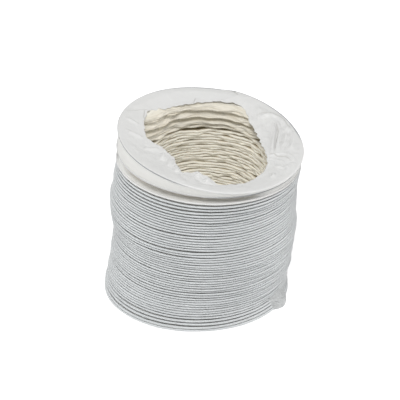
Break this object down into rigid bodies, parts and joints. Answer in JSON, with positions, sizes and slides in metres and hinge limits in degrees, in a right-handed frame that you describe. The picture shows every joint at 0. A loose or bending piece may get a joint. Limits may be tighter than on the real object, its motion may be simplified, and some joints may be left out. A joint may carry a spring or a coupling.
{
  "type": "flexible air duct",
  "caption": "White flexible air duct of wire helix and pleated film, pushed together like a concertina, with a loose tilted end turn.",
  "frame": {"origin": "middle of the box's underside, on the surface that the duct's lowest turn rests on", "axes": "+Z along the duct's air path, up towards the loose end turn; -Y faces the viewer, so the end turn rises to -X and the cut end of the film lies at +X, -Y"},
  "size_m": [0.113, 0.1064, 0.1048],
  "materials": {
    "film": "satin white PVC film",
    "end_film": "crumpled soft gloss white PVC film",
    "wire": "drawn spring steel wire"
  },
  "bodies": {
    "root": {"film_pleat_01": "film", "wire_turn_01": "wire", "cut_end_tab": "film"},
    "turn_02": {"film_pleat_02": "film", "wire_turn_02": "wire"},
    "turn_03": {"film_pleat_03": "film", "wire_turn_03": "wire"},
    "turn_04": {"film_pleat_04": "film", "wire_turn_04": "wire"},
    "turn_05": {"film_pleat_05": "film", "wire_turn_05": "wire"},
    "turn_06": {"film_pleat_06": "film", "wire_turn_06": "wire"},
    "turn_07": {"film_pleat_07": "film", "wire_turn_07": "wire"},
    "turn_08": {"film_pleat_08": "film", "wire_turn_08": "wire"},
    "turn_09": {"film_pleat_09": "film", "wire_turn_09": "wire"},
    "turn_10": {"film_pleat_10": "film", "wire_turn_10": "wire"},
    "turn_11": {"film_pleat_11": "film", "wire_turn_11": "wire"},
    "turn_12": {"film_pleat_12": "film", "wire_turn_12": "wire"},
    "turn_13": {"film_pleat_13": "film", "wire_turn_13": "wire"},
    "turn_14": {"film_pleat_14": "film", "wire_turn_14": "wire"},
    "turn_15": {"film_pleat_15": "film", "wire_turn_15": "wire"},
    "turn_16": {"film_pleat_16": "film", "wire_turn_16": "wire"},
    "turn_17": {"film_pleat_17": "film", "wire_turn_17": "wire"},
    "turn_18": {"film_pleat_18": "film", "wire_turn_18": "wire"},
    "turn_19": {"film_pleat_19": "film", "wire_turn_19": "wire"},
    "turn_20": {"film_pleat_20": "film", "wire_turn_20": "wire"},
    "turn_21": {"film_pleat_21": "film", "wire_turn_21": "wire"},
    "turn_22": {"film_pleat_22": "film", "wire_turn_22": "wire"},
    "turn_23": {"film_pleat_23": "film", "wire_turn_23": "wire"},
    "turn_24": {"film_pleat_24": "film", "wire_turn_24": "wire"},
    "turn_25": {"film_pleat_25": "film", "wire_turn_25": "wire"},
    "loose_turn": {"loose_turn_film": "film", "loose_turn_wire": "wire"},
    "end_turn": {"end_film_collar": "end_film", "end_turn_wire": "wire"}
  },
  "joints": [
    {"name": "stretch", "type": "slide", "parent": "root", "child": "turn_25", "axis": [0, 0, 1], "range_m": [0, 1.344]},
    {"name": "turn_02_slide", "type": "slide", "parent": "root", "child": "turn_02", "axis": [0, 0, 1], "range_m": [0, 0.0561]},
    {"name": "turn_03_slide", "type": "slide", "parent": "root", "child": "turn_03", "axis": [0, 0, 1], "range_m": [0, 0.1121]},
    {"name": "turn_04_slide", "type": "slide", "parent": "root", "child": "turn_04", "axis": [0, 0, 1], "range_m": [0, 0.1681]},
    {"name": "turn_05_slide", "type": "slide", "parent": "root", "child": "turn_05", "axis": [0, 0, 1], "range_m": [0, 0.2241]},
    {"name": "turn_06_slide", "type": "slide", "parent": "root", "child": "turn_06", "axis": [0, 0, 1], "range_m": [0, 0.2801]},
    {"name": "turn_07_slide", "type": "slide", "parent": "root", "child": "turn_07", "axis": [0, 0, 1], "range_m": [0, 0.3361]},
    {"name": "turn_08_slide", "type": "slide", "parent": "root", "child": "turn_08", "axis": [0, 0, 1], "range_m": [0, 0.3921]},
    {"name": "turn_09_slide", "type": "slide", "parent": "root", "child": "turn_09", "axis": [0, 0, 1], "range_m": [0, 0.4481]},
    {"name": "turn_10_slide", "type": "slide", "parent": "root", "child": "turn_10", "axis": [0, 0, 1], "range_m": [0, 0.5041]},
    {"name": "turn_11_slide", "type": "slide", "parent": "root", "child": "turn_11", "axis": [0, 0, 1], "range_m": [0, 0.5601]},
    {"name": "turn_12_slide", "type": "slide", "parent": "root", "child": "turn_12", "axis": [0, 0, 1], "range_m": [0, 0.6161]},
    {"name": "turn_13_slide", "type": "slide", "parent": "root", "child": "turn_13", "axis": [0, 0, 1], "range_m": [0, 0.6721]},
    {"name": "turn_14_slide", "type": "slide", "parent": "root", "child": "turn_14", "axis": [0, 0, 1], "range_m": [0, 0.7281]},
    {"name": "turn_15_slide", "type": "slide", "parent": "root", "child": "turn_15", "axis": [0, 0, 1], "range_m": [0, 0.7841]},
    {"name": "turn_16_slide", "type": "slide", "parent": "root", "child": "turn_16", "axis": [0, 0, 1], "range_m": [0, 0.8401]},
    {"name": "turn_17_slide", "type": "slide", "parent": "root", "child": "turn_17", "axis": [0, 0, 1], "range_m": [0, 0.8961]},
    {"name": "turn_18_slide", "type": "slide", "parent": "root", "child": "turn_18", "axis": [0, 0, 1], "range_m": [0, 0.9521]},
    {"name": "turn_19_slide", "type": "slide", "parent": "root", "child": "turn_19", "axis": [0, 0, 1], "range_m": [0, 1.0081]},
    {"name": "turn_20_slide", "type": "slide", "parent": "root", "child": "turn_20", "axis": [0, 0, 1], "range_m": [0, 1.0641]},
    {"name": "turn_21_slide", "type": "slide", "parent": "root", "child": "turn_21", "axis": [0, 0, 1], "range_m": [0, 1.1201]},
    {"name": "turn_22_slide", "type": "slide", "parent": "root", "child": "turn_22", "axis": [0, 0, 1], "range_m": [0, 1.1761]},
    {"name": "turn_23_slide", "type": "slide", "parent": "root", "child": "turn_23", "axis": [0, 0, 1], "range_m": [0, 1.2321]},
    {"name": "turn_24_slide", "type": "slide", "parent": "root", "child": "turn_24", "axis": [0, 0, 1], "range_m": [0, 1.2881]},
    {"name": "loose_turn_tilt", "type": "hinge", "parent": "turn_25", "child": "loose_turn", "pos_m": [0.04918, -0.02786, 0.0827], "axis": [0.515, 0.8572, 0], "range_deg": [0, 13.4]},
    {"name": "end_turn_tilt", "type": "hinge", "parent": "loose_turn", "child": "end_turn", "pos_m": [0.04918, -0.02786, 0.0827], "axis": [0.515, 0.8572, 0], "range_deg": [0, 13.5]}
  ],
  "couplings": [
    {"joint": "turn_02_slide", "follows": "stretch", "ratio": 0.041667},
    {"joint": "turn_03_slide", "follows": "stretch", "ratio": 0.083333},
    {"joint": "turn_04_slide", "follows": "stretch", "ratio": 0.125},
    {"joint": "turn_05_slide", "follows": "stretch", "ratio": 0.16667},
    {"joint": "turn_06_slide", "follows": "stretch", "ratio": 0.20833},
    {"joint": "turn_07_slide", "follows": "stretch", "ratio": 0.25},
    {"joint": "turn_08_slide", "follows": "stretch", "ratio": 0.29167},
    {"joint": "turn_09_slide", "follows": "stretch", "ratio": 0.33333},
    {"joint": "turn_10_slide", "follows": "stretch", "ratio": 0.375},
    {"joint": "turn_11_slide", "follows": "stretch", "ratio": 0.41667},
    {"joint": "turn_12_slide", "follows": "stretch", "ratio": 0.45833},
    {"joint": "turn_13_slide", "follows": "stretch", "ratio": 0.5},
    {"joint": "turn_14_slide", "follows": "stretch", "ratio": 0.54167},
    {"joint": "turn_15_slide", "follows": "stretch", "ratio": 0.58333},
    {"joint": "turn_16_slide", "follows": "stretch", "ratio": 0.625},
    {"joint": "turn_17_slide", "follows": "stretch", "ratio": 0.66667},
    {"joint": "turn_18_slide", "follows": "stretch", "ratio": 0.70833},
    {"joint": "turn_19_slide", "follows": "stretch", "ratio": 0.75},
    {"joint": "turn_20_slide", "follows": "stretch", "ratio": 0.79167},
    {"joint": "turn_21_slide", "follows": "stretch", "ratio": 0.83333},
    {"joint": "turn_22_slide", "follows": "stretch", "ratio": 0.875},
    {"joint": "turn_23_slide", "follows": "stretch", "ratio": 0.91667},
    {"joint": "turn_24_slide", "follows": "stretch", "ratio": 0.95833},
    {"joint": "end_turn_tilt", "follows": "loose_turn_tilt", "ratio": 1}
  ]
}
